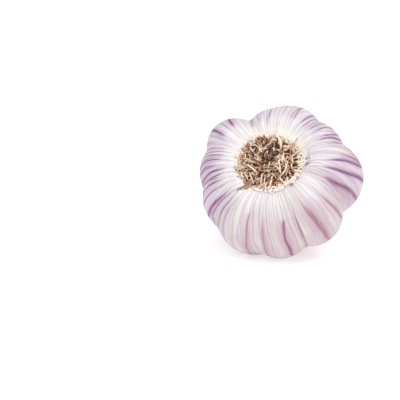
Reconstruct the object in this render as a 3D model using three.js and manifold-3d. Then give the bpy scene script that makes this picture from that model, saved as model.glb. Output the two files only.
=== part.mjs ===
// A whole garlic bulb, lying on its side with its root end forward and up.
// Millimetres, +Z up, the surface it lies on is z = 0.
// Each piece is drawn standing on its neck, roots up along +Z, with angles counted
// anticlockwise as seen from the root end. One group then lays the whole bulb down.
import * as THREE from "three";
import { mergeVertices } from "three/addons/utils/BufferGeometryUtils.js";
import Module from "manifold-3d";

const wasm = await Module();
wasm.setup();

// How the bulb lies
const ROOT_AXIS_RISE = 44; // degrees between the surface and the axis, root end up
const MIDDLE_HEIGHT = 22.13; // of the widest section's centre above the surface
const MIDDLE_SHIFT = [-0.29, -0.74]; // brings the outline's middle over the origin

// The skin's outline from the roots over the shoulder to the cut neck:
// distance from the axis, height towards the roots
const OUTLINE = [
  [10.9, 13.6],
  [12.2, 15.0],
  [16.0, 16.0],
  [21.5, 13.6],
  [25.2, 7.6],
  [26.2, 0.8],
  [24.6, -5.6],
  [20.2, -10.6],
  [14.2, -14.4],
  [8.6, -17.6],
  [5.6, -21.2],
  [4.4, -25.5],
  [3.9, -29.5],
  [3.9, -32.5],
];
const WIDEST_RADIUS = 26.2;
const WIDEST_HEIGHT = 0.8;
const SKIN_COLUMNS = 100;
const SKIN_RINGS = 27;

// The cloves under the skin: angle, reach from the axis, and how fast the outline
// falls off to either side, in mm for each radian squared
const CLOVES = [
  [9, 27.9, 24],
  [48, 24.2, 18],
  [86, 25.5, 17],
  [107, 24.3, 14],
  [154, 28.9, 31],
  [182, 27.1, 24],
  [215, 26.6, 24],
  [249, 27.8, 20],
  [283, 27.3, 26],
  [321, 27.1, 21],
];
const CREASE_WIDTH = 0.7; // of the rounded crease between two cloves
const EVEN_REACH = 26.2; // a clove that reaches this far leaves the outline as it is
const ROOT_END_SWELL = 1.0; // rise of a clove's root end for each mm of reach
const ROOT_END_SWELL_FADE = 4; // power by which that rise ends at the widest section
const ROOT_END_FADE = 0.75; // power by which the cloves end at the root plate
const NECK_END_FADE = 0.9; // and at the neck

// The neck: layered dry leaf bases round a flower stalk, cut off square
const NECK_RADIUS = 4.0;
const NECK_BEND_START = -17;
const NECK_BEND_RADIUS = 24;
const NECK_BEND_TOWARDS = 80; // degrees, where 90 is straight up on the lying bulb
const NECK_RIDGES = 13;
const NECK_RIDGE_DEPTH = 0.3;
const NECK_RIDGE_START = 6; // length over which the ridges rise out of the shoulder
const STALK_RADIUS = 2.3;
const STALK_LENGTH = 8;
const STALK_STANDS_OUT = 0.5;
const STALK_SIDES = 20;
const STALK_RINGS = 5;

// The root plate, in a round recess, with short dry roots
const PLATE_RADIUS = 10.4;
const PLATE_TOP = 12.9;
const PLATE_THICKNESS = 2.1;
const PLATE_SWELL = { radius: 6, height: 0.2 }; // a low ring on the plate
const PLATE_DIMPLE = 0.3; // in its middle
const PLATE_SIDES = 40;
const RIM_FRAY = 0.3; // of the skin's torn edge round the recess
const RIM_WAVES = [9, 14];
const GAP = 0.4; // between the skin and the pieces that sit in it
const ROOT_RINGS = [
  { radius: 2.4, roots: 6, sway: 110, lengths: [3.0, 4.6] },
  { radius: 4.4, roots: 12, sway: 95, lengths: [3.6, 5.6] },
  { radius: 6.2, roots: 17, sway: 75, lengths: [3.6, 5.6] },
  { radius: 7.9, roots: 22, sway: 40, lengths: [2.8, 4.2] },
  { radius: 9.3, roots: 30, sway: 16, lengths: [2.0, 2.6] },
];
const ROOT_THICKNESS = 0.9;
const ROOT_TIP_THICKNESS = 0.5;
const ROOT_SUNK = 1.0;
const ROOT_RISE = [1.0, 2.6]; // of the tips above the plate
const ROOT_REACH = 11.6; // no root ends further out than this
const ROOT_RIM_RISE = 2.5; // least rise of a root that passes over the skin's edge
const ROOT_RIM_WIDTH = 1.2; // width of the plate's margin where roots begin to rise so
const ROOT_ELBOW = { part: 0.25, height: 0.4 }; // its place on the way, and over the tip
const ROOT_SCATTER = 0.7; // of the spacing round a ring
const ROOT_SIDES = 4;
const ROOT_STEPS = 3;
const ROOT_SEED = 7;

const { clamp, degToRad, euclideanModulo, lerp, smoothstep } = THREE.MathUtils;

// The same random numbers on every run, by a linear congruence
function seededRandom(seed) {
  let state = seed;
  return () => {
    state = (state * 1664525 + 1013904223) % 2 ** 32;
    return state / 2 ** 32;
  };
}

// A closed geometry over rings of points that run from the top down, each ring
// anticlockwise as seen from the top. A fan of faces closes each end.
function closedOverRings(rings, firstCentre, lastCentre) {
  const columns = rings[0].length;
  const points = [firstCentre, ...rings.flat(), lastCentre];
  const last = points.length - 1;
  const at = (ring, column) => 1 + ring * columns + (column % columns);
  const faces = [];
  for (let column = 0; column < columns; column++) {
    faces.push(0, at(0, column), at(0, column + 1));
    for (let ring = 0; ring < rings.length - 1; ring++) {
      faces.push(at(ring, column), at(ring + 1, column), at(ring + 1, column + 1));
      faces.push(at(ring, column), at(ring + 1, column + 1), at(ring, column + 1));
    }
    const end = rings.length - 1;
    faces.push(last, at(end, column + 1), at(end, column));
  }
  const geometry = new THREE.BufferGeometry().setFromPoints(points);
  geometry.setIndex(faces);
  return geometry;
}

// How far the skin reaches from the axis at the widest section: the cloves' round
// outlines, joined by creases
function reach(angle) {
  let sum = 0;
  for (const [at, crest, fall] of CLOVES) {
    const off = euclideanModulo(angle - degToRad(at) + Math.PI, 2 * Math.PI) - Math.PI;
    sum += Math.exp((crest - fall * off * off) / CREASE_WIDTH);
  }
  return Math.log(sum) * CREASE_WIDTH;
}

// A point of the straight skin, from a point of its outline
function skinPoint(radius, height, angle) {
  const beside = height > WIDEST_HEIGHT ? PLATE_RADIUS + GAP : NECK_RADIUS;
  const fullness = clamp((radius - beside) / (WIDEST_RADIUS - beside), 0, 1);
  const lobe = reach(angle) - EVEN_REACH;
  let out = radius;
  let up = height;
  if (height > WIDEST_HEIGHT) {
    const inwards = 1 - (radius / WIDEST_RADIUS) ** ROOT_END_SWELL_FADE;
    out += lobe * fullness ** ROOT_END_FADE;
    up += lobe * ROOT_END_SWELL * fullness * inwards;
  } else {
    const onNeck = smoothstep(NECK_BEND_START - height, 0, NECK_RIDGE_START);
    const ridge = (NECK_RIDGE_DEPTH / 2) * Math.cos(NECK_RIDGES * angle);
    out += lobe * fullness ** NECK_END_FADE + onNeck * ridge;
  }
  return new THREE.Vector3(out * Math.cos(angle), out * Math.sin(angle), up);
}

// Bends the neck off the axis in a circular arc, with its sections turning along
function bendNeck(point) {
  const length = NECK_BEND_START - point.z;
  if (length <= 0) return point;
  const towards = degToRad(NECK_BEND_TOWARDS);
  const axis = new THREE.Vector3(0, 0, 1);
  point.applyAxisAngle(axis, -towards);
  const turn = length / NECK_BEND_RADIUS;
  const fromCentre = NECK_BEND_RADIUS - point.x;
  point.x = NECK_BEND_RADIUS - fromCentre * Math.cos(turn);
  point.z = NECK_BEND_START - fromCentre * Math.sin(turn);
  return point.applyAxisAngle(axis, towards);
}

// Presses a point that would be under the surface up onto it, which leaves a small
// flat spot where the bulb rests
const rise = degToRad(ROOT_AXIS_RISE);
const upwards = new THREE.Vector3(0, Math.cos(rise), Math.sin(rise));
function pressOnSurface(point) {
  const under = -(point.dot(upwards) + MIDDLE_HEIGHT);
  if (under > 0) point.addScaledVector(upwards, under);
  return point;
}

// A ring of points of one radius and height, such as a step of a bore or a stalk
function roundRing(radius, height, columns) {
  return Array.from({ length: columns }, (_, column) => {
    const angle = (column / columns) * 2 * Math.PI;
    const point = new THREE.Vector3(radius * Math.cos(angle), radius * Math.sin(angle), height);
    return bendNeck(point);
  });
}

// Skin with the cloves' swellings, the recess for the root plate and the neck's bore
function bulbGeometry() {
  const outline = new THREE.SplineCurve(OUTLINE.map(([r, h]) => new THREE.Vector2(r, h)));
  const cutEnd = OUTLINE.at(-1)[1];
  const boreEnd = cutEnd + STALK_LENGTH;
  const recessFloor = PLATE_TOP - PLATE_THICKNESS - GAP;
  const skin = outline.getSpacedPoints(SKIN_RINGS).map(({ x: radius, y: height }, ring) =>
    Array.from({ length: SKIN_COLUMNS }, (_, column) => {
      const angle = (column / SKIN_COLUMNS) * 2 * Math.PI;
      const point = skinPoint(radius, height, angle);
      const waves = RIM_WAVES.map((count) => Math.cos(count * angle + count));
      if (ring === 0) point.z += RIM_FRAY * waves[0] * waves[1];
      return pressOnSurface(bendNeck(point));
    }),
  );
  const rings = [
    roundRing(PLATE_RADIUS + GAP, recessFloor, SKIN_COLUMNS),
    ...skin,
    roundRing(STALK_RADIUS + GAP, cutEnd, SKIN_COLUMNS),
    roundRing(STALK_RADIUS + GAP, (cutEnd + boreEnd) / 2, SKIN_COLUMNS),
    roundRing(STALK_RADIUS + GAP, boreEnd, SKIN_COLUMNS),
  ];
  const recessCentre = new THREE.Vector3(0, 0, recessFloor);
  const boreCentre = bendNeck(new THREE.Vector3(0, 0, boreEnd));
  return closedOverRings(rings, recessCentre, boreCentre);
}

// The stalk's stub, which follows the neck's bend
function stalkGeometry() {
  const top = OUTLINE.at(-1)[1] + STALK_LENGTH - GAP;
  const bottom = OUTLINE.at(-1)[1] - STALK_STANDS_OUT;
  const rings = Array.from({ length: STALK_RINGS + 1 }, (_, step) =>
    roundRing(STALK_RADIUS, lerp(top, bottom, step / STALK_RINGS), STALK_SIDES),
  );
  const topCentre = bendNeck(new THREE.Vector3(0, 0, top));
  const bottomCentre = bendNeck(new THREE.Vector3(0, 0, bottom));
  return closedOverRings(rings, topCentre, bottomCentre);
}

function solidOf(geometry) {
  const bare = geometry.clone();
  bare.deleteAttribute("normal");
  bare.deleteAttribute("uv");
  const merged = mergeVertices(bare);
  return new wasm.Manifold(
    new wasm.Mesh({
      numProp: 3,
      vertProperties: merged.attributes.position.array,
      triVerts: new Uint32Array(merged.index.array),
    }),
  );
}

function geometryOf(solid) {
  const { vertProperties, triVerts } = solid.getMesh();
  const geometry = new THREE.BufferGeometry();
  geometry.setAttribute("position", new THREE.BufferAttribute(vertProperties, 3));
  geometry.setIndex(new THREE.BufferAttribute(triVerts, 1));
  return geometry;
}

// The corky plate, a little hollow in the middle
function plateGeometry() {
  const underside = PLATE_TOP - PLATE_THICKNESS;
  const section = [
    [0, underside],
    [PLATE_RADIUS, underside],
    [PLATE_RADIUS, PLATE_TOP],
    [PLATE_SWELL.radius, PLATE_TOP + PLATE_SWELL.height],
    [0, PLATE_TOP - PLATE_DIMPLE],
  ];
  const points = section.map(([r, h]) => new THREE.Vector2(r, h));
  return new THREE.LatheGeometry(points, PLATE_SIDES).rotateX(Math.PI / 2);
}

// One root: a tapered, curved strand with closed ends, drawn from its tip down
function rootGeometry(route) {
  const frames = route.computeFrenetFrames(ROOT_STEPS);
  const rings = [];
  for (let step = ROOT_STEPS; step >= 0; step--) {
    const part = step / ROOT_STEPS;
    const radius = lerp(ROOT_THICKNESS, ROOT_TIP_THICKNESS, part) / 2;
    const centre = route.getPointAt(part);
    const ring = [];
    for (let side = 0; side < ROOT_SIDES; side++) {
      const angle = (side / ROOT_SIDES) * 2 * Math.PI;
      const point = centre.clone();
      point.addScaledVector(frames.normals[step], radius * Math.cos(angle));
      point.addScaledVector(frames.binormals[step], radius * Math.sin(angle));
      ring.push(point);
    }
    rings.push(ring);
  }
  return closedOverRings(rings, route.getPointAt(1), route.getPointAt(0));
}

// A root's route: up out of the plate, then over and outwards
function rootRoute({ radius, sway, lengths }, angle, random) {
  const base = new THREE.Vector3(radius, 0, PLATE_TOP - ROOT_SUNK);
  base.applyAxisAngle(new THREE.Vector3(0, 0, 1), angle);
  const heading = angle + degToRad(sway) * (2 * random() - 1);
  const outwards = new THREE.Vector3(Math.cos(heading), Math.sin(heading), 0);
  const length = lerp(...lengths, random());
  const tip = base.clone().addScaledVector(outwards, length);
  const tipReach = Math.hypot(tip.x, tip.y);
  if (tipReach > ROOT_REACH) {
    tip.x *= ROOT_REACH / tipReach;
    tip.y *= ROOT_REACH / tipReach;
  }
  const overEdge = smoothstep(tipReach, PLATE_RADIUS - ROOT_RIM_WIDTH, PLATE_RADIUS);
  tip.z = PLATE_TOP + Math.max(lerp(...ROOT_RISE, random()), ROOT_RIM_RISE * overEdge);
  const elbow = base.clone().lerp(tip, ROOT_ELBOW.part);
  elbow.z = tip.z + ROOT_ELBOW.height;
  return new THREE.QuadraticBezierCurve3(base, elbow, tip);
}

// The plate and its roots, grown together in one solid
function rootPlateGeometry() {
  const random = seededRandom(ROOT_SEED);
  let solid = solidOf(plateGeometry());
  for (const ring of ROOT_RINGS) {
    for (let root = 0; root < ring.roots; root++) {
      const angle = ((root + ROOT_SCATTER * random()) / ring.roots) * 2 * Math.PI;
      const route = rootRoute(ring, angle, random);
      solid = solid.add(solidOf(rootGeometry(route)));
    }
  }
  return geometryOf(solid);
}

function piece(name, geometry, color, roughness) {
  const material = new THREE.MeshStandardMaterial({ color, roughness, metalness: 0 });
  const mesh = new THREE.Mesh(geometry, material);
  mesh.name = name;
  return mesh;
}

const group = new THREE.Group();
group.rotation.x = Math.PI / 2 - rise;
group.position.set(...MIDDLE_SHIFT, MIDDLE_HEIGHT);
group.add(
  piece("bulb", bulbGeometry(), 0xe7dce4, 0.5),
  piece("root_plate", rootPlateGeometry(), 0xb08a61, 0.85),
  piece("flower_stalk", stalkGeometry(), 0xebe0c6, 0.7),
);

export default group;
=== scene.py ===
import math

import bpy
import numpy as np
from mathutils import Matrix, Vector


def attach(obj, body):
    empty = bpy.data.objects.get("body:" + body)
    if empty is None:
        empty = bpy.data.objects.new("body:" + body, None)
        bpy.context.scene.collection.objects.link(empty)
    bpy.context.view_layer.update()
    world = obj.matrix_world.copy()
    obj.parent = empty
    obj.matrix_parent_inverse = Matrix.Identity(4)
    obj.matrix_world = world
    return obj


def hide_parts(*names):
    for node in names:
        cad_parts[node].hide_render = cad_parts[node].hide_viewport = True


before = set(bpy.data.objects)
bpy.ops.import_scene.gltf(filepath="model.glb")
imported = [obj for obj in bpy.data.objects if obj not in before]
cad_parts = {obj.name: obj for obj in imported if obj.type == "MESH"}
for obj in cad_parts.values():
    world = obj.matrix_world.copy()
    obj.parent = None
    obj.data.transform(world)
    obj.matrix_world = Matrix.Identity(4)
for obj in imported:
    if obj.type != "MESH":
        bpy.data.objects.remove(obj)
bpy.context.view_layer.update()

MM = 0.001
FULL_TURN = 2 * math.pi

# How the bulb lies, as in the CAD model
ROOT_AXIS_RISE = math.radians(44)
MIDDLE = (-0.29, -0.74, 22.13)

# The skin's outline from the roots to the cut neck: distance from the axis, height
OUTLINE = [
    (10.9, 13.6),
    (12.2, 15.0),
    (16.0, 16.0),
    (21.5, 13.6),
    (25.2, 7.6),
    (26.2, 0.8),
    (24.6, -5.6),
    (20.2, -10.6),
    (14.2, -14.4),
    (8.6, -17.6),
    (5.6, -21.2),
    (4.4, -25.5),
    (3.9, -29.5),
    (3.9, -32.5),
]
WIDEST_RADIUS = 26.2
WIDEST_HEIGHT = 0.8

# The cloves: angle in degrees, reach from the axis, fall of the outline to either side
CLOVES = [
    (9, 27.9, 24),
    (48, 24.2, 18),
    (86, 25.5, 17),
    (107, 24.3, 14),
    (154, 28.9, 31),
    (182, 27.1, 24),
    (215, 26.6, 24),
    (249, 27.8, 20),
    (283, 27.3, 26),
    (321, 27.1, 21),
]
CREASE_WIDTH = 0.7
EVEN_REACH = 26.2
ROOT_END_SWELL = 1.0
ROOT_END_SWELL_FADE = 4
ROOT_END_FADE = 0.75
NECK_END_FADE = 0.9

# Neck, stalk and root plate
NECK_RADIUS = 4.0
NECK_BEND_START = -17
NECK_BEND_RADIUS = 24
NECK_BEND_TOWARDS = math.radians(80)
NECK_RIDGES = 13
NECK_RIDGE_DEPTH = 0.3
NECK_RIDGE_START = 6
NECK_CUT = OUTLINE[-1][1]
STALK_RADIUS = 2.3
STALK_LENGTH = 8
STALK_STANDS_OUT = 0.5
PLATE_RADIUS = 10.4
PLATE_TOP = 12.9
PLATE_THICKNESS = 2.1
GAP = 0.4

# The dry sheaths round the bore in the cut neck: distance from the axis, depth in the neck
SHEATHS = [
    (3.55, 0.35),
    (3.45, -0.05),
    (3.15, 0.4),
    (3.05, 0.0),
    (STALK_RADIUS + GAP, 0.3),
]

# How fine the skin's mesh is
COLUMNS = 600
ROWS = 150
# The skin's relief: how many ribs, their height and the length that they rise over, the
# heights of broad and fine wrinkles, of folds by the neck and of the torn rim, and how
# deep the veins are sunk
RIBS = 88
RIB_HEIGHT = 0.075
RIB_RISE = 8
WRINKLE_HEIGHT = 0.10
FINE_WRINKLE_HEIGHT = 0.05
FOLD_HEIGHT = 0.16
TORN_HEIGHT = 0.3
VEIN_DEPTH = 0.1

# A flap of skin that reaches in over the root plate: where and how wide in degrees, how far
FLAP_AT = 70
FLAP_HALF_WIDTH = 42
FLAP_REACH = 2.2


def smoothstep(value, low, high):
    part = np.clip((value - low) / (high - low), 0, 1)
    return part * part * (3 - 2 * part)


def bell(off, half_width=1.0):
    """1 in the middle, falling off smoothly to either side of it."""
    return np.exp(-((off / half_width) ** 2))


def ripple(places, frequency, seed, waves=18):
    """Smooth seeded noise between about -1 and 1: a sum of waves in random directions."""
    random = np.random.default_rng(seed)
    total = np.zeros(places.shape[:-1])
    for _ in range(waves):
        direction = random.normal(size=3)
        direction *= frequency * random.uniform(0.6, 1.4) / np.linalg.norm(direction)
        total += np.sin(places @ direction + random.uniform(0, FULL_TURN))
    return total / math.sqrt(waves / 2)


def skin_ripple(around, across, lengthwise, seed):
    """Seeded noise on the skin, with a frequency across its ribs and one along them."""
    return ripple(around * (across, across, lengthwise), 1.0, seed)


def angle_between(angle, other):
    return (angle - other + math.pi) % FULL_TURN - math.pi


def bell_at(angle, degrees, half_width):
    """1 in a direction and falling off to either side; direction and width are in degrees."""
    return bell(angle_between(angle, math.radians(degrees)), math.radians(half_width))


def towards(angle, degrees):
    """1 in a direction that is given in degrees, 0 square to it and -1 opposite."""
    return np.cos(angle - math.radians(degrees))


def flap(angle):
    """How far the skin's rim reaches in over the root plate."""
    return FLAP_REACH * bell_at(angle, FLAP_AT, FLAP_HALF_WIDTH)


def smooth_curve(points, count):
    """Evenly spaced points of the smooth curve through some points, and the length up to each."""
    points = np.array(points, dtype=float)
    fine = np.linspace(0, len(points) - 1, 60 * len(points))
    index = np.minimum(fine.astype(int), len(points) - 2)
    part = (fine - index)[:, None]
    before = points[np.maximum(index - 1, 0)]
    start, end = points[index], points[index + 1]
    after = points[np.minimum(index + 2, len(points) - 1)]
    leave, arrive = (end - before) / 2, (after - start) / 2
    curve = start + leave * part
    curve += (3 * (end - start) - 2 * leave - arrive) * part**2
    curve += (2 * (start - end) + leave + arrive) * part**3
    length = np.concatenate([[0], np.cumsum(np.linalg.norm(np.diff(curve, axis=0), axis=1))])
    steps = np.linspace(0, length[-1], count)
    even = [np.interp(steps, length, values) for values in curve.T]
    return np.stack(even, -1), steps


def reach(angle):
    """How far the skin reaches from the axis at the widest section."""
    total = 0
    for at, crest, fall in CLOVES:
        off = angle_between(angle, math.radians(at))
        total = total + np.exp((crest - fall * off * off) / CREASE_WIDTH)
    return np.log(total) * CREASE_WIDTH


def skin_points(radius, height, angle):
    """The straight skin over a grid of outline points and angles."""
    roots_side = height > WIDEST_HEIGHT
    inner = np.where(roots_side, PLATE_RADIUS + GAP, NECK_RADIUS)
    fullness = np.clip((radius - inner) / (WIDEST_RADIUS - inner), 0, 1)
    lobe = reach(angle) - EVEN_REACH
    inwards = 1 - (radius / WIDEST_RADIUS) ** ROOT_END_SWELL_FADE
    fade = np.where(roots_side, fullness**ROOT_END_FADE, fullness**NECK_END_FADE)
    on_neck = smoothstep(NECK_BEND_START - height, 0, NECK_RIDGE_START)
    out = radius + lobe * fade + on_neck * NECK_RIDGE_DEPTH / 2 * np.cos(NECK_RIDGES * angle)
    up = height + np.where(roots_side, lobe * ROOT_END_SWELL * fullness * inwards, 0)
    return np.stack([out * np.cos(angle), out * np.sin(angle), up + 0 * out], -1)


def bend_neck(points):
    """Bends what is below the shoulder off the axis in a circular arc."""
    cosine, sine = math.cos(NECK_BEND_TOWARDS), math.sin(NECK_BEND_TOWARDS)
    side = points[..., 0] * cosine + points[..., 1] * sine
    across = points[..., 1] * cosine - points[..., 0] * sine
    turn = np.maximum(NECK_BEND_START - points[..., 2], 0) / NECK_BEND_RADIUS
    from_centre = NECK_BEND_RADIUS - side
    bent_side = NECK_BEND_RADIUS - from_centre * np.cos(turn)
    bent_up = np.where(turn > 0, NECK_BEND_START - from_centre * np.sin(turn), points[..., 2])
    x = bent_side * cosine - across * sine
    y = bent_side * sine + across * cosine
    return np.stack([x, y, bent_up], -1)


def lay_down(points):
    """Standing millimetres into the frame's metres, pressed flat at the surface below."""
    x, y, z = np.moveaxis(points, -1, 0)
    sine, cosine = math.sin(ROOT_AXIS_RISE), math.cos(ROOT_AXIS_RISE)
    row = np.stack([x, y * sine - z * cosine, y * cosine + z * sine], -1) + MIDDLE
    row[..., 2] = np.maximum(row[..., 2], 0)
    return row * MM


def grid_normals(points):
    """Outward normals of a grid of rings from the root end down to the neck."""
    along = np.gradient(points, axis=0)
    around = np.roll(points, -1, 1) - np.roll(points, 1, 1)
    normal = np.cross(along, around)
    return normal / np.maximum(np.linalg.norm(normal, axis=-1, keepdims=True), 1e-9)


def grid_faces(rings, columns, start=0):
    """Quads between rings, facing outwards when the rings run from the root end down."""
    ring, column = np.meshgrid(np.arange(rings - 1), np.arange(columns), indexing="ij")
    beside = (column + 1) % columns
    corners = [ring * columns + column, (ring + 1) * columns + column]
    corners += [(ring + 1) * columns + beside, ring * columns + beside]
    return (np.stack(corners, -1).reshape(-1, 4) + start).tolist()


def closed_faces(rings, columns):
    """The quads of a grid of rings, and a fan at each end round one of the last two points."""
    faces = grid_faces(rings, columns)
    first_middle, last_middle = rings * columns, rings * columns + 1
    last_ring = (rings - 1) * columns
    for column in range(columns):
        beside = (column + 1) % columns
        faces.append((first_middle, column, beside))
        faces.append((last_middle, last_ring + beside, last_ring + column))
    return faces


def new_piece(name, points, faces, material, attributes, node):
    """A smooth mesh piece in the frame, with the attributes that its material reads."""
    mesh = bpy.data.meshes.new(name)
    mesh.from_pydata(points.reshape(-1, 3).tolist(), [], faces)
    mesh.polygons.foreach_set("use_smooth", [True] * len(mesh.polygons))
    for key, values in attributes.items():
        is_vector = values.ndim == 2
        made = mesh.attributes.new(key, "FLOAT_VECTOR" if is_vector else "FLOAT", "POINT")
        made.data.foreach_set("vector" if is_vector else "value", values.reshape(-1))
    mesh.materials.append(material)
    mesh.update()
    piece = bpy.data.objects.new(name, mesh)
    bpy.context.scene.collection.objects.link(piece)
    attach(piece, "root")
    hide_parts(node)
    return piece


def colour(red, green, blue):
    """A linear colour from the 0 to 255 values that a screen shows."""
    def linear(value):
        part = value / 255
        return part / 12.92 if part <= 0.04045 else ((part + 0.055) / 1.055) ** 2.4
    return (linear(red), linear(green), linear(blue), 1)


class Nodes:
    """Builds a node material from short calls."""

    def __init__(self, name):
        self.material = bpy.data.materials.new(name)
        self.material.use_nodes = True
        self.tree = self.material.node_tree
        self.shader = self.tree.nodes["Principled BSDF"]

    def new(self, kind, **settings):
        node = self.tree.nodes.new(kind)
        for key, value in settings.items():
            setattr(node, key, value)
        return node

    def put(self, socket, value):
        """Links a value from another node, or sets a plain one."""
        if isinstance(value, bpy.types.NodeSocket):
            self.tree.links.new(value, socket)
        else:
            socket.default_value = value

    def attribute(self, name, output="Fac"):
        return self.new("ShaderNodeAttribute", attribute_name=name).outputs[output]

    def object_place(self):
        return self.new("ShaderNodeTexCoord").outputs["Object"]

    def noise(self, vector, scale, detail, roughness):
        node = self.new("ShaderNodeTexNoise")
        self.put(node.inputs["Vector"], vector)
        self.put(node.inputs["Scale"], scale)
        self.put(node.inputs["Detail"], detail)
        self.put(node.inputs["Roughness"], roughness)
        return node.outputs["Fac"]

    def skin_noise(self, around, across, lengthwise, detail, roughness):
        """Noise on the skin, with a scale across its ribs and one along them."""
        node = self.new("ShaderNodeVectorMath", operation="MULTIPLY")
        self.put(node.inputs[0], around)
        self.put(node.inputs[1], (across, across, lengthwise))
        return self.noise(node.outputs[0], 1.0, detail, roughness)

    def math(self, operation, first, second, clamp=False):
        node = self.new("ShaderNodeMath", operation=operation, use_clamp=clamp)
        self.put(node.inputs[0], first)
        self.put(node.inputs[1], second)
        return node.outputs[0]

    def times(self, first, second, clamp=False):
        return self.math("MULTIPLY", first, second, clamp)

    def remap(self, value, low, high, to_low=0.0, to_high=1.0):
        node = self.new("ShaderNodeMapRange", interpolation_type="SMOOTHSTEP")
        self.put(node.inputs["Value"], value)
        self.put(node.inputs["From Min"], low)
        self.put(node.inputs["From Max"], high)
        self.put(node.inputs["To Min"], to_low)
        self.put(node.inputs["To Max"], to_high)
        return node.outputs["Result"]

    def mix(self, part, first, second, blend="MIX"):
        node = self.new("ShaderNodeMix", data_type="RGBA", blend_type=blend)
        self.put(node.inputs["Factor"], part)
        self.put(node.inputs["A"], first)
        self.put(node.inputs["B"], second)
        return node.outputs["Result"]

    def tint(self, base, attribute, share, tinted):
        """Another colour laid over the base, as an attribute times a share says."""
        return self.mix(self.times(self.attribute(attribute), share), base, tinted)

    def bump(self, height, strength, distance):
        node = self.new("ShaderNodeBump")
        self.put(node.inputs["Strength"], strength)
        self.put(node.inputs["Distance"], distance)
        self.put(node.inputs["Height"], height)
        return node.outputs["Normal"]

    def finish(self, **inputs):
        for key, value in inputs.items():
            self.put(self.shader.inputs[key.replace("_", " ")], value)
        return self.material


# Colours of the skin
SKIN_WHITE = colour(235, 232, 231)
SKIN_LILAC = colour(233, 228, 238)
SKIN_STRAW = colour(227, 223, 211)
# Beige-grey low down: partly the skin's own colour, partly painted shade on the side that faces down
SKIN_LOW_SHADE_BEIGE = colour(213, 199, 196)
# Painted shade in the grooves between the ribs
SKIN_GROOVE_SHADE = colour(207, 198, 208)
SKIN_LINE = colour(160, 138, 152)
SKIN_MAUVE = colour(190, 158, 172)
SKIN_VIOLET = colour(197, 169, 196)
SKIN_DUSKY = colour(162, 116, 138)
SKIN_WINE = colour(120, 70, 94)
SKIN_MAGENTA = colour(158, 112, 154)
SKIN_PURPLE = colour(108, 66, 112)
SKIN_CREAM = colour(248, 238, 218)
SKIN_SHEATH = colour(176, 132, 118)


def skin_material():
    nodes = Nodes("garlic skin")
    around = nodes.attribute("around", "Vector")
    streaks = nodes.skin_noise(around, 26, 1.2, 3.0, 0.6)
    fibres = nodes.skin_noise(around, 60, 1.6, 2.0, 0.6)
    threads = nodes.skin_noise(around, 110, 1.3, 1.0, 0.5)
    clouds = nodes.skin_noise(around, 6, 1.6, 3.0, 0.55)
    tints = nodes.skin_noise(around, 14, 0.9, 2.0, 0.5)
    violet_side = nodes.attribute("violet_side")
    base = nodes.mix(nodes.attribute("outward"), SKIN_WHITE, SKIN_LILAC)
    base = nodes.tint(base, "outward", nodes.remap(tints, 0.42, 0.6), SKIN_STRAW)
    # partly painted shade: beige-grey on the side that faces down
    base = nodes.tint(base, "low_beige_and_shade", nodes.remap(clouds, 0.25, 0.7, 0.5, 1.1), SKIN_LOW_SHADE_BEIGE)
    # painted shade in the grooves between the ribs
    base = nodes.tint(base, "groove_shade", nodes.remap(clouds, 0.3, 0.7, 0.15, 0.65), SKIN_GROOVE_SHADE)
    base = nodes.tint(base, "line", nodes.remap(fibres, 0.3, 0.6, 0.4, 1.0), SKIN_LINE)
    base = nodes.tint(base, "threads", nodes.remap(threads, 0.55, 0.68, 0.0, 0.8), SKIN_LINE)
    blotchy = nodes.remap(streaks, 0.3, 0.7, 0.6, 1.15)
    blush = nodes.times(nodes.attribute("blush"), blotchy, clamp=True)
    base = nodes.mix(blush, base, nodes.mix(violet_side, SKIN_MAUVE, SKIN_VIOLET))
    vein = nodes.times(nodes.attribute("vein"), nodes.remap(fibres, 0.35, 0.65, 0.7, 1.35), clamp=True)
    vein = nodes.times(vein, nodes.remap(threads, 0.35, 0.6, 0.75, 1.2), clamp=True)
    faint_vein = nodes.mix(violet_side, SKIN_DUSKY, SKIN_MAGENTA)
    dark_vein = nodes.mix(violet_side, SKIN_WINE, SKIN_PURPLE)
    base = nodes.mix(nodes.remap(vein, 0.0, 0.5), base, faint_vein)
    base = nodes.mix(nodes.remap(vein, 0.4, 1.0), base, dark_vein)
    base = nodes.mix(nodes.attribute("cream"), base, SKIN_CREAM)
    base = nodes.mix(nodes.attribute("sheath"), base, SKIN_SHEATH)
    streaked = nodes.mix(1.0, base, nodes.remap(fibres, 0.3, 0.7, 0.93, 1.03), blend="MULTIPLY")
    base = nodes.mix(nodes.attribute("threads"), base, streaked)
    relief = nodes.math("ADD", nodes.times(fibres, 0.6), streaks)
    return nodes.finish(
        Base_Color=base,
        Roughness=nodes.remap(streaks, 0.3, 0.7, 0.40, 0.56),
        Normal=nodes.bump(relief, 0.25, 0.0003),
        Subsurface_Weight=0.12,
        Subsurface_Radius=(0.0016, 0.001, 0.0011),
        Subsurface_Scale=1.0,
        Sheen_Weight=0.05,
    )


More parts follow.
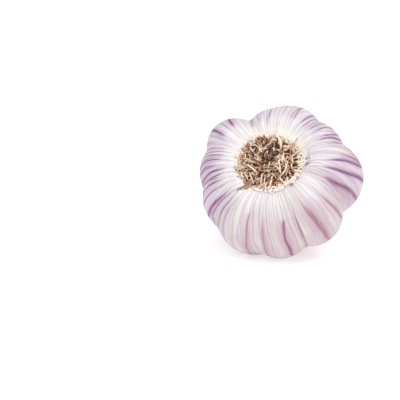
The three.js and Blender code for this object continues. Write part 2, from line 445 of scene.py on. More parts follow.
# The veins of the root end, in degrees and in millimetres along the skin from the rim:
# where one starts, where it is darkest, half its width in degrees, and how dark it is
VEINS = [
    ((65, 6), (69, 17), 1.2, 0.55),
    ((56, 5), (55, 15), 1.1, 0.4),
    ((44, 6), (47, 16), 1.2, 0.6),
    ((32, 6), (38, 20), 1.2, 0.85),
    ((26, 9), (28, 19), 1.0, 0.65),
    ((18, 5), (23, 19), 0.9, 0.45),
    ((15, 14), (21, 25), 0.9, 0.35),
    ((4, 7), (13, 22), 1.4, 1.0),
    ((356, 7), (365, 24), 1.5, 1.0),
    ((348, 9), (353, 22), 2.2, 0.7),
    ((331, 8), (337, 30), 2.2, 0.45),
    ((314, 7), (319, 28), 2.4, 0.5),
    ((305, 9), (303, 27), 1.0, 0.5),
    ((294, 12), (292, 17), 1.3, 0.8),
    ((277, 9), (274, 25), 1.3, 0.4),
    ((265, 7), (262, 18), 1.2, 0.4),
    ((230, 7), (222, 20), 1.6, 0.8),
    ((247, 5), (244, 12), 0.9, 0.4),
    ((241, 5), (237, 16), 0.8, 0.75),
    ((211, 6), (203, 16), 1.3, 0.5),
    ((194, 7), (191, 17), 1.2, 0.6),
    ((146, 6), (143, 12), 1.5, 0.75),
    ((160, 6), (158, 13), 1.5, 0.8),
    ((169, 9), (167, 15), 1.1, 0.35),
    ((178, 3), (179, 12), 0.9, 0.4),
    ((184, 8), (186, 14), 1.0, 0.4),
    ((197, 5), (192, 17), 0.9, 0.4),
    ((135, 5), (133, 10), 0.8, 0.3),
    ((129, 4), (126, 11), 0.8, 0.45),
    ((117, 5), (115, 10), 0.8, 0.35),
    ((108, 2), (105, 10), 0.9, 0.45),
    ((90, 5), (90, 12), 0.9, 0.35),
    ((75, 6), (78, 12), 1.1, 0.5),
    ((200, 5), (198, 14), 0.9, 0.95),
    ((207, 5), (203, 15), 0.9, 1.0),
    ((214, 6), (209, 16), 0.8, 0.95),
    ((188, 5), (187, 13), 0.8, 0.95),
    ((182, 4), (182, 12), 0.6, 0.8),
    ((174, 4), (174, 12), 0.6, 0.6),
    ((165, 5), (163, 12), 0.6, 0.4),
    ((152, 5), (150, 11), 0.7, 0.35),
    ((222, 5), (216, 16), 0.6, 0.8),
    ((236, 4), (229, 15), 0.6, 0.9),
    ((24, 10), (30, 20), 0.8, 0.8),
    ((12, 10), (17, 25), 0.8, 0.7),
    ((36, 8), (41, 18), 0.8, 0.8),
    ((51, 6), (53, 15), 0.8, 0.7),
    ((60, 6), (63, 15), 0.8, 0.7),
]
# A vein's dark core, the softer band that it lies in and the stain beside it, in half widths
VEIN_CORE = 0.6
VEIN_BAND = 1.7
VEIN_STAIN = 2.2
# Its sway in radians, and half the width in degrees of its thin tail towards the rim
VEIN_SWAY = 0.006
TAIL_HALF_WIDTH = 0.55
# Small purple spots by the torn rim: angle in degrees, place along the skin
RIM_NOTCHES = [(359, 1.9), (318, 1.7), (332, 0.9), (8, 1.0)]
NOTCH_HALF_WIDTH = 2.4
NOTCH_HALF_LENGTH = 1.2
# Broad mauve stains: angle, where one starts and is strongest along the skin, half its width
# in degrees, and how strong it is
STAINS = [
    (350, 6, 16, 6, 0.85),
    (348, 1, 6, 5, 0.4),
    (317, 0, 3, 4, 0.25),
    (317, 7, 15, 7, 0.9),
    (293, 12, 16, 4, 0.75),
    (277, 8, 18, 4, 0.7),
    (262, 7, 16, 4, 0.6),
    (230, 6, 15, 8, 0.7),
    (212, 6, 15, 6, 0.8),
    (194, 5, 13, 10, 1.0),
    (176, 5, 12, 5, 0.5),
    (160, 6, 12, 8, 0.5),
    (145, 4, 10, 5, 0.35),
    (68, 5, 14, 7, 0.3),
    (33, 7, 17, 8, 0.2),
    (8, 8, 22, 8, 0.45),
]
# How many hair-thin grey lines, and a thin line by the torn rim: place along the skin, half width
HAIR_LINES = 260
RIM_LINE_PLACE = 2.2
RIM_LINE_HALF_WIDTH = 0.35
# How far along the skin the root end's looks reach on average, how much more or less than that
# to either side, and the direction where they reach farthest, in degrees
VIEW_REACH = 23.0
VIEW_REACH_SWAY = 9.5
VIEW_REACH_AT = 325
# Other directions on the skin, in degrees: smooth and beige low down, coarse above, dusky
# veins and stains rather than violet ones, and a line along the torn rim
# The beige low down is partly the skin's own colour and partly painted shade on the side that faces
# down
LOW_SIDE = 285
UPPER_SIDE = 50
DUSKY_SIDE = 300
TORN_SIDE = 325


def past_root_end(angle, along):
    """Length along the skin past where the root end's looks give way to the neck side's."""
    return along - VIEW_REACH - VIEW_REACH_SWAY * towards(angle, VIEW_REACH_AT)


def vein_strokes():
    """The placed veins, and seeded ones that start where the neck side begins."""
    random = np.random.default_rng(11)
    strokes = list(VEINS)
    for at in np.arange(0, 360, 4.0):
        at = at + random.uniform(-1.5, 1.5)
        edge = -float(past_root_end(math.radians(at), 0))
        start = edge + random.uniform(-3, 8)
        dark = start + random.uniform(8, 18)
        width = random.uniform(0.8, 2.0)
        last = at + random.uniform(-3, 3)
        strokes.append(((at, start), (last, dark), width, random.uniform(0.2, 0.8)))
    return strokes


def vein_mask(angle, along):
    """Lengthwise veins, the stain beside them, and their thin tails towards the rim."""
    random = np.random.default_rng(12)
    total = along.max()
    mask = np.zeros(np.broadcast(angle, along).shape)
    beside = np.zeros_like(mask)
    tails = np.zeros_like(mask)
    for (first, start), (last, dark), width, strength in vein_strokes():
        part = (along - start) / (dark - start)
        centre = math.radians(first) + math.radians(last - first) * np.clip(part, -0.3, 1.5)
        sway = np.sin(along * random.uniform(0.3, 0.6) + random.uniform(0, FULL_TURN))
        from_centre = angle_between(angle, centre + VEIN_SWAY * sway)
        off = from_centre / math.radians(width)
        band_off = off / VEIN_BAND - random.uniform(-0.5, 0.5)
        profile = 0.7 * bell(off, VEIN_CORE) + 0.3 * bell(band_off)
        rise = smoothstep(part, -0.1, 0.45)
        fall = 1 - 0.7 * smoothstep(along, dark + 6, total - 14)
        depth = strength * rise * fall
        tail = strength * (1 - rise) * smoothstep(along, 0.5, 4)
        mask = np.maximum(mask, depth * profile)
        beside = np.maximum(beside, 0.6 * depth * bell(band_off, VEIN_STAIN))
        tails = np.maximum(tails, tail * bell(from_centre, math.radians(TAIL_HALF_WIDTH)))
    for at, place in RIM_NOTCHES:
        notch = bell_at(angle, at, NOTCH_HALF_WIDTH) * bell(along - place, NOTCH_HALF_LENGTH)
        mask = np.maximum(mask, 0.75 * notch)
    return mask, beside, tails


def line_mask(angle, along, coarse):
    """Hair-thin grey lines, fainter where the skin is less coarse, and one along the torn rim."""
    random = np.random.default_rng(13)
    mask = np.zeros(np.broadcast(angle, along).shape)
    for _ in range(HAIR_LINES):
        at = random.uniform(0, FULL_TURN)
        start = random.uniform(-2, 30)
        part = (along - start) / random.uniform(8, 26)
        fade = smoothstep(part, 0, 0.3) * (1 - smoothstep(part, 0.6, 1))
        off = angle_between(angle, at + random.uniform(-0.03, 0.03) * part)
        width = math.radians(random.uniform(0.5, 0.9))
        mask = np.maximum(mask, random.uniform(0.2, 0.9) * fade * bell(off, width))
    torn_side = smoothstep(towards(angle, TORN_SIDE), 0.2, 0.8)
    edge = RIM_LINE_PLACE + 0.5 * np.sin(9 * angle + 1) * np.sin(14 * angle)
    rim_line = 0.9 * torn_side * bell(along - edge, RIM_LINE_HALF_WIDTH)
    return np.maximum(mask * (0.25 + 0.75 * coarse), rim_line)


def blush_mask(angle, along, around):
    """Mauve stain: broad soft bands at the root end, and most of the neck side."""
    past = past_root_end(angle, along)
    total = along.max()
    behind = smoothstep(past, -4, 10) * (1 - 0.75 * smoothstep(along, total - 19, total - 7))
    patches = 0.5 + 0.35 * skin_ripple(around, 4.5, 0.16, 21)
    streaks = 0.5 + 0.45 * skin_ripple(around, 16, 0.07, 22)
    mask = behind * np.clip(patches * 0.7 + streaks * 0.6, 0, 1.1)
    for at, start, strongest, width, strength in STAINS:
        stain = smoothstep(along, start, strongest) * bell_at(angle, at, width)
        mask = np.maximum(mask, strength * stain)
    return np.clip(mask, 0, 1)


def rib_relief(angle, along, around):
    """Fine raised ribs along the papery skin, as parts of the highest one."""
    random = np.random.default_rng(5)
    warped = angle + 0.01 * skin_ripple(around, 2, 0.15, 31)
    relief = np.zeros(np.broadcast(angle, along).shape)
    for rib in range(RIBS):
        at = (rib + random.uniform(-0.3, 0.3)) * FULL_TURN / RIBS
        width = math.radians(random.uniform(0.8, 1.3))
        height = random.uniform(0.3, 1.0)
        start = random.uniform(1, 10)
        off = angle_between(warped, at)
        relief += height * smoothstep(along, start, start + RIB_RISE) * bell(off, width)
    return relief


def skin_surface(outline, along, angle, around, ribs, veins):
    """The skin with its ribs, wrinkles, sunk veins, torn rim and flap, and with the neck bent."""
    skin = skin_points(outline[:, :1], outline[:, 1:], angle)
    total = along.max()
    tapering = smoothstep(along, 0.5, 4) * (1 - smoothstep(along, total - 2, total))
    wrinkles = WRINKLE_HEIGHT * skin_ripple(around, 7, 0.22, 41)
    wrinkles += FINE_WRINKLE_HEIGHT * skin_ripple(around, 15, 0.3, 42)
    folds = FOLD_HEIGHT * smoothstep(along, 34, 52) * skin_ripple(around, 16, 0.08, 43)
    relief = RIB_HEIGHT * ribs + wrinkles + folds - VEIN_DEPTH * veins
    skin += grid_normals(skin) * (tapering * relief)[..., None]
    torn = skin_ripple(around, 9, 1, 44) + skin_ripple(around, 26, 1, 45)
    skin[..., 2] += TORN_HEIGHT * bell(along, 0.9) * torn
    uneven = 1 + 0.12 * skin_ripple(around, 12, 1, 47)
    inwards = flap(angle) * uneven * bell(along, 1.5)
    skin -= inwards[..., None] * np.stack([np.cos(angle), np.sin(angle), 0 * angle - 0.1], -1)
    return bend_neck(skin)


def skin_ends(angle):
    """Rings of the recess for the root plate and of the cut neck's bore, and their middles."""
    def ring(distance, level):
        circle = [distance * np.cos(angle), distance * np.sin(angle), level + 0 * angle]
        return bend_neck(np.stack(circle, -1))

    recess_floor = PLATE_TOP - PLATE_THICKNESS - GAP
    bore_floor = NECK_CUT + STALK_LENGTH
    recess = [ring(PLATE_RADIUS + GAP, level) for level in (recess_floor, PLATE_TOP)]
    cut_end = [ring(distance, NECK_CUT + depth) for distance, depth in SHEATHS]
    bore_levels = (NECK_CUT + STALK_LENGTH / 2, bore_floor)
    cut_end += [ring(STALK_RADIUS + GAP, level) for level in bore_levels]
    middles = np.array([[0, 0, recess_floor], bend_neck(np.array([0, 0, bore_floor]))])
    return recess, cut_end, middles


def make_skin():
    outline, along = smooth_curve(OUTLINE, ROWS)
    along = along[:, None]
    angle = (np.arange(COLUMNS) * FULL_TURN / COLUMNS)[None, :]
    around = [np.cos(angle) + 0 * along, np.sin(angle) + 0 * along, along + 0 * angle]
    around = np.stack(around, -1)
    total = along.max()
    low_side = 0.5 + 0.5 * towards(angle, LOW_SIDE)
    upper_side = smoothstep(towards(angle, UPPER_SIDE), -0.5, 0.5)
    coarse = (1 - 0.75 * low_side**3) * (0.6 + 0.4 * upper_side)
    ribs = rib_relief(angle, along, around) * coarse
    veins, beside_veins, tails = vein_mask(angle, along)
    skin = skin_surface(outline, along, angle, around, ribs, veins)
    recess, cut_end, middles = skin_ends(angle[0])
    rings = np.concatenate([recess, skin, cut_end])
    points = lay_down(np.concatenate([rings.reshape(-1, 3), middles]))
    faces = closed_faces(len(rings), COLUMNS)

    def whole(mask, at_recess, at_end):
        """A mask of the skin, with its values for the recess and for the cut end."""
        rows = [
            np.full((len(recess), COLUMNS), at_recess),
            np.broadcast_to(mask, (ROWS, COLUMNS)),
            np.full((len(cut_end), COLUMNS), at_end),
        ]
        return np.concatenate([np.concatenate(rows).reshape(-1), [at_recess, at_end]])

    noise_place = [
        whole(around[..., 0], 0, 1),
        whole(around[..., 1], 0, 0),
        whole(around[..., 2] * 0.1, 0, 6),
    ]
    threads = (0.35 + 0.65 * smoothstep(along, 4, 16)) * (0.3 + 0.7 * coarse)
    dusky_side = smoothstep(towards(angle, DUSKY_SIDE), 0.3, 0.95)
    # Painted shade in the grooves between the ribs, weaker low down
    groove_shade = (1 - np.clip(1.2 * ribs, 0, 1)) * smoothstep(along, 2, 10) * (1 - 0.7 * low_side**3)
    flecked = 0.35 + 0.3 * skin_ripple(around, 18, 1, 46)
    ends = flecked * bell(along, 1.6) + 0.25 * smoothstep(along, total - 12, total)
    brown_rim = 0.8 * bell(along, 0.35) * (1 - 0.8 * flap(angle) / FLAP_REACH)
    attributes = {
        "around": np.stack(noise_place, -1),
        "outward": whole(smoothstep(along, 0, 13), 0, 1),
        "threads": whole(threads, 0, 0.5),
        "violet_side": whole(1 - dusky_side, 0.5, 0.5),
        # Beige-grey on the side that faces down: partly its own colour, partly painted shade
        "low_beige_and_shade": whole(low_side**2 * smoothstep(along, 4, 17), 0, 1),
        "groove_shade": whole(groove_shade, 0, 0),
        "line": whole(np.maximum(line_mask(angle, along, coarse), tails), 0, 0),
        "blush": whole(np.maximum(blush_mask(angle, along, around), beside_veins), 0, 0),
        "vein": whole(veins, 0, 0),
        "cream": whole(np.clip(ends, 0, 1), 1, 0.8),
        "sheath": whole(0.7 * smoothstep(along, total - 1.2, total) + brown_rim, 0.9, 0.25),
    }
    return new_piece("bulb_skin", points, faces, skin_material(), attributes, "bulb")


# Root tuft and root plate
# ROOT_DARK is the darkest roots' own colour and also the painted shade deep in the tuft
ROOT_DARK = colour(70, 44, 32)
ROOT_TAN = colour(184, 136, 104)
ROOT_CREAM = colour(252, 230, 206)
ROOT_RUST = colour(150, 98, 72)
NUB_CREAM = colour(252, 247, 240)
# The cork's darkest brown is partly its own colour and partly painted shade of the gaps under the
# roots
CORK_DARK_AND_SHADE = colour(58, 38, 30)
CORK_TAN = colour(140, 96, 68)
CORK_RIM = colour(236, 214, 178)

# Roots that stand out, by places on the plate in millimetres: places, lift, thickness, tone
PLACED_ROOTS = [
    ([(2.0, 4.5), (2.0, 6.5), (0.5, 8.5), (-0.5, 10.0)], 2.6, 0.95, 0.9),
    ([(5.5, 3.0), (5.8, 5.0), (6.7, 6.5), (7.0, 9.0)], 2.4, 0.5, 0.55),
    ([(2.2, 1.2), (3.4, -1.2), (4.3, -4.1)], 1.9, 0.65, 1.0),
    ([(1.0, -0.8), (3.0, -2.4), (4.3, -4.0)], 1.5, 0.6, 0.95),
    ([(4.0, 1.6), (5.0, 0.0), (6.0, -2.5), (4.7, -4.8)], 1.8, 0.6, 0.9),
    ([(6.0, -2.0), (7.5, -4.0)], 1.4, 0.55, 0.9),
    ([(7.0, 3.5), (6.8, 2.0), (7.5, 0.0)], 1.6, 0.6, 0.95),
    ([(-1.4, -4.0), (-1.5, -6.0), (-1.0, -8.6)], 1.8, 0.6, 0.85),
    ([(0.7, -4.0), (0.7, -5.7), (-0.2, -7.2), (0.2, -9.0)], 1.8, 0.6, 0.85),
    ([(-7.0, -3.8), (-5.2, -6.4), (-3.6, -9.0)], 1.8, 0.6, 0.8),
    ([(-9.0, -2.0), (-7.2, -2.6), (-5.0, -4.0), (-3.4, -5.0)], 2.0, 0.7, 0.9),
    ([(-9.3, -4.3), (-7.1, -6.1), (-6.0, -7.6)], 1.6, 0.65, 0.8),
    ([(-8.7, 5.0), (-7.6, 3.4), (-6.0, 2.0)], 1.6, 0.55, 0.9),
    ([(-2.4, 5.6), (-1.3, 7.4), (0.0, 7.5)], 1.9, 0.55, 0.95),
    ([(-8.5, -0.7), (-6.5, -1.2), (-4.7, -1.4)], 1.8, 0.7, 0.8),
    ([(-10.0, 2.4), (-9.0, 1.1), (-9.0, 0.0)], 1.4, 0.55, 0.95),
    ([(-4.2, 4.5), (-4.6, 3.5), (-3.6, 2.7)], 1.9, 0.55, 1.0),
    ([(-1.3, 4.8), (0.3, 4.3), (0.0, 3.5)], 1.9, 0.55, 0.9),
    ([(2.6, 2.2), (4.0, 1.6), (4.7, 0.3)], 2.0, 0.55, 0.8),
]
# Bands of the other roots: inner and outer distance, number, sway of direction, lengths, lifts
ROOT_BANDS = [
    (1.2, 3.2, 22, 2.2, (1.8, 3.6), (0.7, 2.0)),
    (3.2, 5.4, 66, 1.6, (2.0, 4.4), (0.6, 2.4)),
    (5.4, 7.4, 96, 0.8, (2.0, 4.8), (0.5, 2.3)),
    (7.4, 9.2, 122, 0.45, (1.8, 4.0), (0.4, 1.8)),
    (9.2, 10.3, 124, 0.3, (1.4, 2.8), (0.4, 1.2)),
]
# Gaps in the tuft, where the roots are short and darkened by painted shade: place on the plate, size
SHADED_GAPS = [((-0.4, 4.6), 1.8), ((-1.4, 0.6), 1.5)]
# The tuft's reach from its middle, and directions in degrees where its roots reach farthest,
# where less far, and where a notch is
TUFT_REACH = 11.7
TUFT_LONG_SIDE = 205
TUFT_SHORT_SIDE = 98
TUFT_NOTCH = 2
TUFT_NOTCH_HALF_WIDTH = 22
# Where papery shreds cover the tuft's edge, in degrees
SHREDS_AT = 58
SHREDS_HALF_WIDTH = 30
# Cream nubs along the rim: how many, and directions in degrees where they are large, where
# small, and where they lie farther in
RIM_NUBS = 360
NUBS_LARGE_SIDE = 310
NUBS_SMALL_SIDE = 90
NUBS_INNER_SIDE = 330
# Rusty shreds over the rim: how many, from where to where on the plate, and the directions in
# degrees where they leave no room for nubs
FLUFF_SHREDS = 16
FLUFF_START = (-4.9, -7.8)
FLUFF_END = (-7.0, -13.2)
FLUFF_AT = 238
FLUFF_HALF_WIDTH = 12
# Points along each root or shred and round it, and a slanting direction to start its rings from
STRAND_STEPS = 11
STRAND_SIDES = 6
ASLANT = (0.3, 0.5, 0.81)
# The skin's outline beside the roots, and how fine the root plate's mesh is
OUTLINE_NEAR_ROOTS = smooth_curve(OUTLINE[:4], 40)[0]
PLATE_COLUMNS = 160
PLATE_ROWS = 40


def root_material():
    nodes = Nodes("dry roots")
    tone = nodes.attribute("tone")
    base = nodes.mix(nodes.remap(tone, 0.0, 0.5), ROOT_DARK, ROOT_TAN)
    base = nodes.mix(nodes.remap(tone, 0.4, 0.95), base, ROOT_CREAM)
    base = nodes.mix(nodes.attribute("rust"), base, ROOT_RUST)
    base = nodes.mix(nodes.attribute("nub"), base, NUB_CREAM)
    mottle = nodes.noise(nodes.object_place(), 900.0, 2.0, 0.6)
    base = nodes.mix(nodes.remap(mottle, 0.5, 0.8, 0.0, 0.4), base, ROOT_RUST)
    # Painted shade deep in the tuft, at the roots' feet and in its gaps
    base = nodes.mix(nodes.attribute("sunk"), base, ROOT_DARK)
    return nodes.finish(Base_Color=base, Roughness=0.7, Normal=nodes.bump(mottle, 0.4, 0.0002))


def plate_material():
    nodes = Nodes("root plate cork")
    grain = nodes.noise(nodes.object_place(), 700.0, 4.0, 0.65)
    # grain from dark brown, partly painted shade under the roots, to tan
    base = nodes.mix(nodes.remap(grain, 0.3, 0.7), CORK_DARK_AND_SHADE, CORK_TAN)
    base = nodes.mix(nodes.attribute("rim"), base, CORK_RIM)
    return nodes.finish(Base_Color=base, Roughness=0.85, Normal=nodes.bump(grain, 0.8, 0.0005))


def strand(path, thickness):
    """Rings of points round a path, from its tip down."""
    tangent = np.gradient(path, axis=0)
    tangent /= np.linalg.norm(tangent, axis=1, keepdims=True)
    helper = np.cross(tangent[0], ASLANT)
    first = np.zeros_like(path)
    for step, direction in enumerate(tangent):
        helper = helper - direction * (helper @ direction)
        helper /= np.linalg.norm(helper)
        first[step] = helper
    second = np.cross(tangent, first)
    turn = (np.arange(STRAND_SIDES) * FULL_TURN / STRAND_SIDES)[None, :, None]
    offset = np.cos(turn) * first[:, None] + np.sin(turn) * second[:, None]
    rings = path[:, None] + offset * (thickness / 2)[:, None, None]
    return rings[::-1]


def level_at(x, y):
    """The height of the plate or the skin at a place near the roots."""
    distance, angle = math.hypot(x, y), math.atan2(y, x)
    if distance < PLATE_RADIUS - flap(angle):
        return PLATE_TOP
    skin = skin_points(OUTLINE_NEAR_ROOTS[:, 0], OUTLINE_NEAR_ROOTS[:, 1], angle)
    return float(np.interp(distance, np.hypot(skin[:, 0], skin[:, 1]), skin[:, 2]))


def root_path(places, heights):
    """A smooth path over places on the plate, kept above what is under it."""
    knots = np.concatenate([np.array(places), PLATE_TOP + np.array(heights)[:, None]], 1)
    path, _ = smooth_curve(knots, STRAND_STEPS)
    for point in path[2:]:
        point[2] = max(point[2], level_at(point[0], point[1]) + 0.3)
    return path


def step_on_plate(distance, heading):
    """A step over the plate, or a place when it starts from the middle."""
    return distance * np.array([math.cos(heading), math.sin(heading)])


def taper(tip):
    """Shares of a strand's thickness, from 1 at its foot to its tip."""
    return np.linspace(1, tip, STRAND_STEPS)


def wave(random, slow, fast):
    """A seeded wave along a strand."""
    return np.sin(np.arange(STRAND_STEPS) * random.uniform(slow, fast) + random.uniform(0, 6))


def tuft_limit(at):
    """How far the roots may reach from the tuft's middle in a direction."""
    limit = TUFT_REACH + 0.5 * towards(at, TUFT_LONG_SIDE)
    limit -= 1.5 * max(0, towards(at, TUFT_SHORT_SIDE))
    limit -= 1.7 * bell_at(at, SHREDS_AT, SHREDS_HALF_WIDTH)
    return limit - 1.1 * bell_at(at, TUFT_NOTCH, TUFT_NOTCH_HALF_WIDTH)


def seeded_places(random, distance, at, sway, length):
    """Places of a root that wanders off from its start, mostly outwards."""
    heading = at + random.normal() * sway
    bend = random.normal() * 0.2
    place = step_on_plate(distance, at)
    places = [place]
    limit = tuft_limit(at) + random.uniform(-0.9, 0.3)
    for _ in range(4):
        heading += bend + random.normal() * 0.22
        place = place + step_on_plate(length / 4 * random.uniform(0.6, 1.4), heading)
        place = place * min(1, limit / math.hypot(*place))
        places.append(place)
    return places


class Strands:
    """Gathers strands into one mesh."""

    def __init__(self):
        self.points = []
        self.faces = []
        self.values = {"tone": [], "rust": [], "nub": [], "sunk": []}
        self.start = 0

    def add(self, path, thickness, **values):
        """Adds a closed strand, with a value or a row of values for each of its attributes."""
        rings = strand(path, thickness)
        end = self.start + len(rings) * STRAND_SIDES
        self.points.append(rings.reshape(-1, 3))
        self.faces += grid_faces(len(rings), STRAND_SIDES, self.start)
        self.faces.append(tuple(range(self.start, self.start + STRAND_SIDES)))
        self.faces.append(tuple(range(end - 1, end - 1 - STRAND_SIDES, -1)))
        for key, gathered in self.values.items():
            value = np.broadcast_to(values.get(key, 0.0), len(rings))
            gathered.append(np.repeat(value[::-1], STRAND_SIDES))
        self.start = end


def add_seeded_roots(strands, random, sunk):
    """The many roots, in bands from the middle out, short and darkened by painted shade in the gaps.
    """
    for inner, outer, count, sway, lengths, lifts in ROOT_BANDS:
        for index in range(count):
            distance = random.uniform(inner, outer)
            at = (index + random.uniform(0, 1)) * FULL_TURN / count
            if distance > PLATE_RADIUS - flap(at) - 0.1:
                continue
            places = seeded_places(random, distance, at, sway, random.uniform(*lengths))
            above = smoothstep(distance * math.sin(at), 3, 8)
            lift = random.uniform(*lifts) * (1 - 0.4 * above)
            ends = [random.uniform(0.5, 1.1) * lift, random.uniform(0.1, 1.1) * lift]
            thickness = 0.32 + 0.5 * random.uniform(0, 1) ** 1.5
            thickness = thickness * taper(random.uniform(0.45, 0.85))
            thickness *= 1 + 0.16 * wave(random, 1, 2.5)
            left = smoothstep(-places[0][0], 1, 7)
            gap = max(bell(math.dist(places[2], middle), size) for middle, size in SHADED_GAPS)
            heights = np.array([-0.5, 0.7 * lift, lift, *ends]) * (1 - 0.6 * gap)
            along_tone = 0.14 * wave(random, 0.3, 0.9)
            # painted shade: the roots are darker in the gaps
            tone = random.normal(0.86, 0.32) - 0.14 * left - 0.7 * gap + along_tone
            rust = random.normal(0.10, 0.15) + 0.4 * left * random.uniform(0, 1)
            strands.add(
                root_path(places, heights),
                thickness,
                tone=np.clip(tone, 0.05, 1),
                rust=np.clip(rust, 0, 0.8),
                sunk=np.maximum(sunk, 0.65 * gap),
            )


def add_placed_roots(strands, sunk):
    for places, lift, thick, tone in PLACED_ROOTS:
        shares = np.linspace(0, 1, len(places))
        heights = -0.2 + (lift + 0.4) * np.sin(math.pi * (0.05 + 0.7 * shares))
        path = root_path(places, heights)
        # half as much painted shade at the feet of these roots
        strands.add(path, thick * taper(0.75), tone=tone, sunk=0.5 * sunk)


def add_rim_nubs(strands, random):
    """Cream shreds and nubs along the rim, thickest below and to the right."""
    for index in range(RIM_NUBS):
        at = (index + random.uniform(0, 1)) * FULL_TURN / RIM_NUBS
        small_side = max(0, towards(at, NUBS_SMALL_SIDE))
        large_side = max(0.5 + 0.5 * towards(at, NUBS_LARGE_SIDE), 0.8 * small_side)
        from_fluff = abs(angle_between(at, math.radians(FLUFF_AT)))
        by_fluff = from_fluff < math.radians(FLUFF_HALF_WIDTH)
        if by_fluff or random.uniform() > 0.3 + 0.7 * large_side:
            continue
        inwards = 1.4 * bell_at(at, SHREDS_AT, SHREDS_HALF_WIDTH) + 0.9 * small_side
        inwards += 0.6 * max(0, towards(at, NUBS_INNER_SIDE))
        start = step_on_plate(random.uniform(10.2 - inwards, 11.4 - flap(at)), at)
        heading = at + random.normal() * 1.2
        length = random.uniform(0.5, 1.6)
        middle = start + step_on_plate(length / 2, heading)
        heading += random.normal() * 0.5
        end = middle + step_on_plate(length / 2, heading)
        lift = random.uniform(0.6, 1.6) * (0.6 + 0.5 * large_side)
        thickness = random.uniform(0.4, 1.0) * (0.5 + 0.75 * large_side) * taper(0.55)
        thickness *= 1 - 0.35 * small_side
        nub = min(random.uniform(0.3, 1.1), 1)
        path = root_path([start, middle, end], [0.2, lift, lift])
        strands.add(path, thickness, tone=0.95, nub=nub)


def add_fluff(strands, random):
    """Thin rusty shreds that lie over the rim at the lower left."""
    for _ in range(FLUFF_SHREDS):
        start = np.array(FLUFF_START) + random.normal(size=2) * 0.6
        end = start + (np.array(FLUFF_END) - FLUFF_START) * random.uniform(0.5, 0.95)
        end += random.normal(size=2) * 0.55
        middle = (start + end) / 2 + random.normal(size=2) * 0.45
        path = root_path([start, middle, end], [1.0, random.uniform(1.1, 1.9), 1.4])
        thickness = random.uniform(0.2, 0.38) * taper(0.5)
        tone = random.uniform(0.1, 1.0)
        rust = random.uniform(0.4, 0.9)
        strands.add(path, thickness, tone=tone, rust=rust)


def make_roots():
    random = np.random.default_rng(17)
    strands = Strands()
    # Painted shade at the roots' feet, deep in the tuft
    sunk = 0.8 * (1 - smoothstep(np.linspace(0, 1, STRAND_STEPS), 0.05, 0.4))
    add_seeded_roots(strands, random, sunk)
    add_placed_roots(strands, sunk)
    add_rim_nubs(strands, random)
    add_fluff(strands, random)
    points = lay_down(np.concatenate(strands.points))
    attributes = {key: np.concatenate(values) for key, values in strands.values.items()}
    faces = strands.faces
    return new_piece("root_tuft", points, faces, root_material(), attributes, "root_plate")


def make_plate():
    angle = (np.arange(PLATE_COLUMNS) * FULL_TURN / PLATE_COLUMNS)[None, :]
    part = np.linspace(0.02, 1, PLATE_ROWS)[:, None]
    distance = PLATE_RADIUS * part + 0 * angle
    top = np.stack([distance * np.cos(angle), distance * np.sin(angle), 0 * distance], -1)
    bumps = 0.16 * ripple(top, 1.6, 51) + 0.10 * ripple(top, 4.0, 52) + 0.07 * ripple(top, 8.0, 53)
    dish = -0.5 * bell(distance, 2.6)
    top[..., 2] = PLATE_TOP + dish + bumps * (1 - smoothstep(part, 0.92, 1.0))
    low = top[-1:].copy()
    low[..., 2] = PLATE_TOP - PLATE_THICKNESS
    rings = np.concatenate([top, low])
    middles = [[0, 0, top[0, :, 2].mean()], [0, 0, PLATE_TOP - PLATE_THICKNESS]]
    points = lay_down(np.concatenate([rings.reshape(-1, 3), middles]))
    rim = smoothstep(distance, 9.6, 10.4) * 0.6
    attributes = {"rim": np.concatenate([rim.reshape(-1), np.ones(PLATE_COLUMNS), [0, 0]])}
    faces = closed_faces(len(rings), PLATE_COLUMNS)
    material = plate_material()
    return new_piece("root_plate_cork", points, faces, material, attributes, "root_plate")


# Flower stalk, whose cut end has a shrunk hollow beside its middle
STALK_COLUMNS = 96
STALK_HOLLOW_AT = (0.3, -0.2)
STALK_HOLLOW_SIZE = 0.9
STALK_HOLLOW_DEPTH = 0.4
STALK_STRAW = colour(226, 212, 178)
STALK_PALE = colour(246, 240, 222)
STALK_PIT = colour(168, 150, 112)
STALK_EDGE = colour(196, 164, 122)


def stalk_material():
    nodes = Nodes("flower stalk")
    grain = nodes.noise(nodes.object_place(), 1200.0, 3.0, 0.6)
    base = nodes.mix(nodes.remap(grain, 0.35, 0.65), STALK_STRAW, STALK_PALE)
    base = nodes.mix(nodes.attribute("pit"), base, STALK_PIT)
    base = nodes.mix(nodes.attribute("edge"), base, STALK_EDGE)
    return nodes.finish(Base_Color=base, Roughness=0.7, Normal=nodes.bump(grain, 0.4, 0.0002))


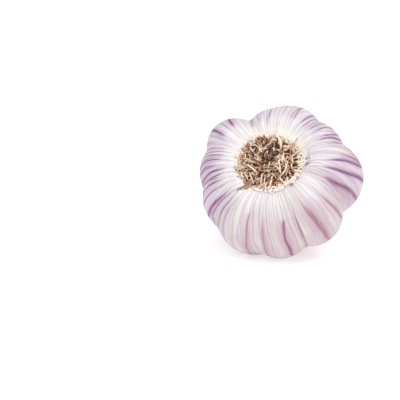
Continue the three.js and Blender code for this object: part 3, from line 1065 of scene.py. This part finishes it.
def make_stalk():
    top, bottom = NECK_CUT + STALK_LENGTH - GAP, NECK_CUT - STALK_STANDS_OUT
    angle = np.arange(STALK_COLUMNS) * FULL_TURN / STALK_COLUMNS
    side_levels = np.linspace(top, bottom + 0.25, 14)
    end_parts = np.linspace(0.98, 0.06, 22)
    distances = [STALK_RADIUS] * len(side_levels) + list(STALK_RADIUS * end_parts)
    levels = list(side_levels) + list(bottom + 0.12 * end_parts**4)
    points, pits, edges = [], [], []
    for index, (distance, level) in enumerate(zip(distances, levels)):
        on_end = index >= len(side_levels)
        x, y = distance * np.cos(angle), distance * np.sin(angle)
        from_hollow = np.hypot(x - STALK_HOLLOW_AT[0], y - STALK_HOLLOW_AT[1])
        pit = on_end * bell(from_hollow, STALK_HOLLOW_SIZE)
        place = np.stack([x, y, level + 0 * x], -1)
        place[:, 2] += STALK_HOLLOW_DEPTH * pit + 0.05 * on_end * ripple(place, 7.0, 61)
        points.append(place)
        pits.append(pit)
        edges.append(np.full(STALK_COLUMNS, smoothstep(distance / STALK_RADIUS, 0.75, 1.0)))
    middles = np.array([[0, 0, top], [0, 0, points[-1][:, 2].mean()]])
    laid = lay_down(bend_neck(np.concatenate([*points, middles])))
    faces = closed_faces(len(points), STALK_COLUMNS)
    material = stalk_material()
    attributes = {
        "pit": 0.7 * np.concatenate([*pits, [0, pits[-1].mean()]]),
        "edge": np.concatenate([*edges, [1, 0]]),
    }
    return new_piece("stalk_end", laid, faces, material, attributes, "flower_stalk")


# Floor, lights and camera, in metres where a name has no unit of its own
FLOOR_HALF_SIZE = 4.0
FLOOR_DROP = 0.00002
FLOOR_GREY = (0.66, 0.66, 0.66, 1)
# The floor glows evenly, though it is no lamp: the glow lifts the shadows on it and lights the bulb
# from below
FLOOR_GLOW = 0.5
WHITE = (1, 1, 1, 1)
SKY_STRENGTH = 0.74
LIGHT_AIM = (0, 0, 0.02)
# The lights: name, place, size, and power in watts
LIGHTS = [
    ("key", (-0.12, -0.6, 0.95), 0.6, 2.3),
    ("low front", (0.22, -0.7, 0.14), 0.5, 0.8),
    ("top right", (0.55, 0.2, 0.85), 0.5, 3.4),
]
CAMERA_AZIMUTH = math.radians(21)
CAMERA_ELEVATION = math.radians(17)
CAMERA_DISTANCE = 0.7
MM_PER_PIXEL = 0.33
PICTURE_PIXELS = 400
BULB_AT_PIXEL = (281.5, 183.0)
SENSOR_MM = 36


def make_floor():
    mesh = bpy.data.meshes.new("floor")
    signs = [(-1, -1), (1, -1), (1, 1), (-1, 1)]
    corners = [(FLOOR_HALF_SIZE * x, FLOOR_HALF_SIZE * y, 0) for x, y in signs]
    mesh.from_pydata(corners, [], [(0, 1, 2, 3)])
    # a grey floor that glows, lifting its shadows and lighting the bulb from below
    paper = Nodes("white paper floor").finish(
        Base_Color=FLOOR_GREY,
        Roughness=0.9,
        Specular_IOR_Level=0.0,
        Emission_Color=WHITE,
        Emission_Strength=FLOOR_GLOW,
    )
    mesh.materials.append(paper)
    floor = bpy.data.objects.new("floor", mesh)
    bpy.context.scene.collection.objects.link(floor)
    floor.location.z = -FLOOR_DROP


def make_light(name, place, size, power):
    light = bpy.data.lights.new(name, "AREA")
    light.shape = "DISK"
    light.size = size
    light.energy = power
    lamp = bpy.data.objects.new(name, light)
    bpy.context.scene.collection.objects.link(lamp)
    lamp.location = place
    lamp.rotation_mode = "QUATERNION"
    lamp.rotation_quaternion = (Vector(LIGHT_AIM) - Vector(place)).to_track_quat("-Z", "Y")


def make_world():
    world = bpy.data.worlds.new("white studio")
    bpy.context.scene.world = world
    world.use_nodes = True
    background = world.node_tree.nodes["Background"]
    background.inputs["Color"].default_value = WHITE
    background.inputs["Strength"].default_value = SKY_STRENGTH


def make_camera():
    """Stands at the photograph's angle, aimed so that the bulb's middle falls on its pixel."""
    sine, cosine = math.sin(CAMERA_AZIMUTH), math.cos(CAMERA_AZIMUTH)
    flat = math.cos(CAMERA_ELEVATION)
    back = Vector((sine * flat, -cosine * flat, math.sin(CAMERA_ELEVATION)))
    right = Vector((cosine, sine, 0))
    up = back.cross(right)
    middle = Vector(lay_down(np.array([0, 0, -1.0])).tolist())
    metres = MM_PER_PIXEL * MM
    across, down = (pixel - PICTURE_PIXELS / 2 for pixel in BULB_AT_PIXEL)
    target = middle - right * across * metres + up * down * metres
    data = bpy.data.cameras.new("camera")
    data.sensor_width = SENSOR_MM
    data.lens = CAMERA_DISTANCE * SENSOR_MM / (PICTURE_PIXELS * metres)
    camera = bpy.data.objects.new("camera", data)
    bpy.context.scene.collection.objects.link(camera)
    turn = Matrix((right, up, back)).transposed().to_4x4()
    camera.matrix_world = Matrix.Translation(target + back * CAMERA_DISTANCE) @ turn
    bpy.context.scene.camera = camera


make_camera()
make_skin()
make_plate()
make_roots()
make_stalk()
make_floor()
make_world()
for light_settings in LIGHTS:
    make_light(*light_settings)
bpy.context.scene.view_settings.view_transform = "Standard"
